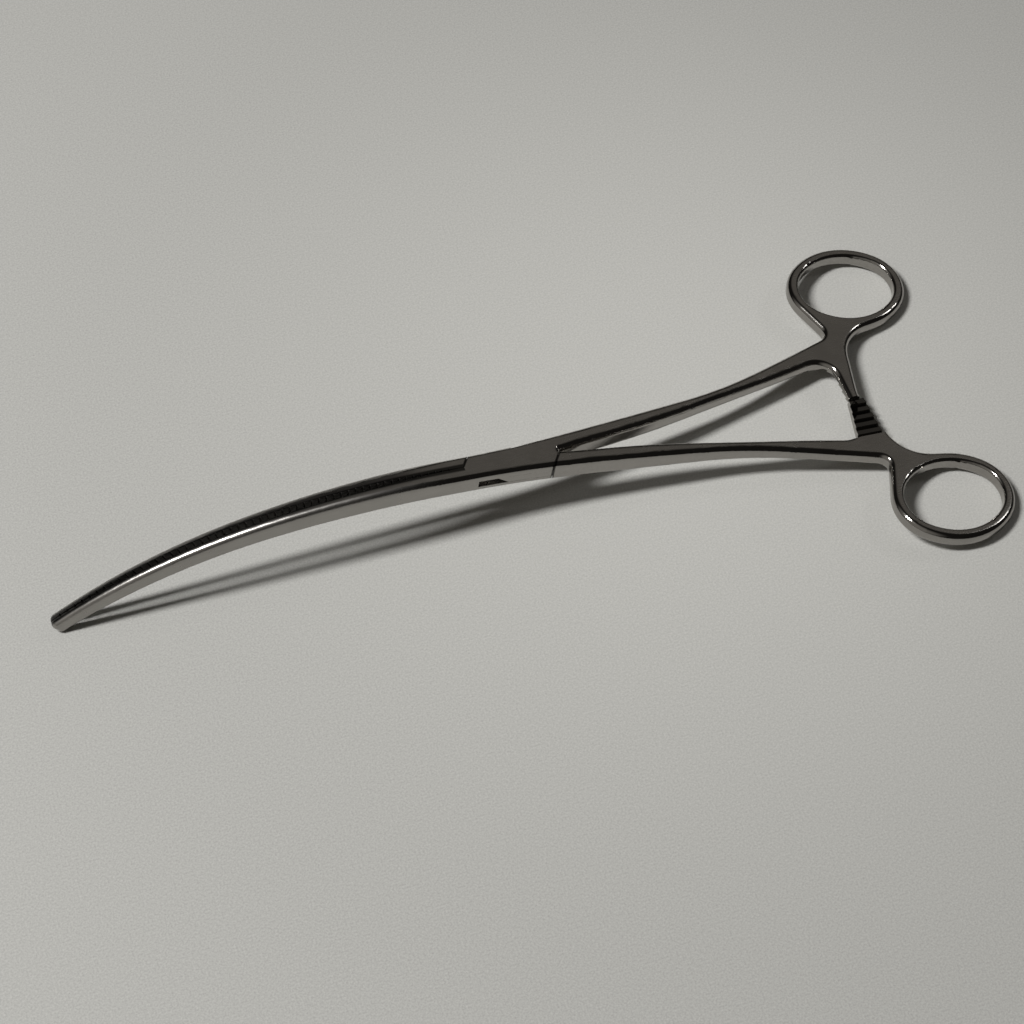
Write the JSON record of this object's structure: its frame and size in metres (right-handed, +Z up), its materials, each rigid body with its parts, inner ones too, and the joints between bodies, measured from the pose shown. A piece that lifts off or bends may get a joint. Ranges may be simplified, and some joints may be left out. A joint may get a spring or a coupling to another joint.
{
  "type": "vascular clamp",
  "caption": "Long locking surgical clamp: slim curved jaws, box lock on a flush rivet, tapering shanks, ratchet arms and oval finger rings.",
  "frame": {"origin": "middle of the closed clamp's box at the surface that it lies on", "axes": "+X from the jaws towards the finger rings, +Y towards the ring of the slotted half, +Z up from the surface that it lies on"},
  "size_m": [0.2666, 0.109, 0.0266],
  "materials": {
    "steel": "satin top faces, polished rounded edges",
    "pin_steel": "ground flush with the box"
  },
  "bodies": {
    "slotted_half": {"female_half": "steel", "rivet_pin": "pin_steel"},
    "tongued_half": {"male_half": "steel"}
  },
  "joints": [
    {"name": "box_lock", "type": "hinge", "parent": "slotted_half", "child": "tongued_half", "pos_m": [-0.00214, 0, 0.01908], "axis": [-0.125, 0, -0.9922], "range_deg": [0, 45]}
  ]
}
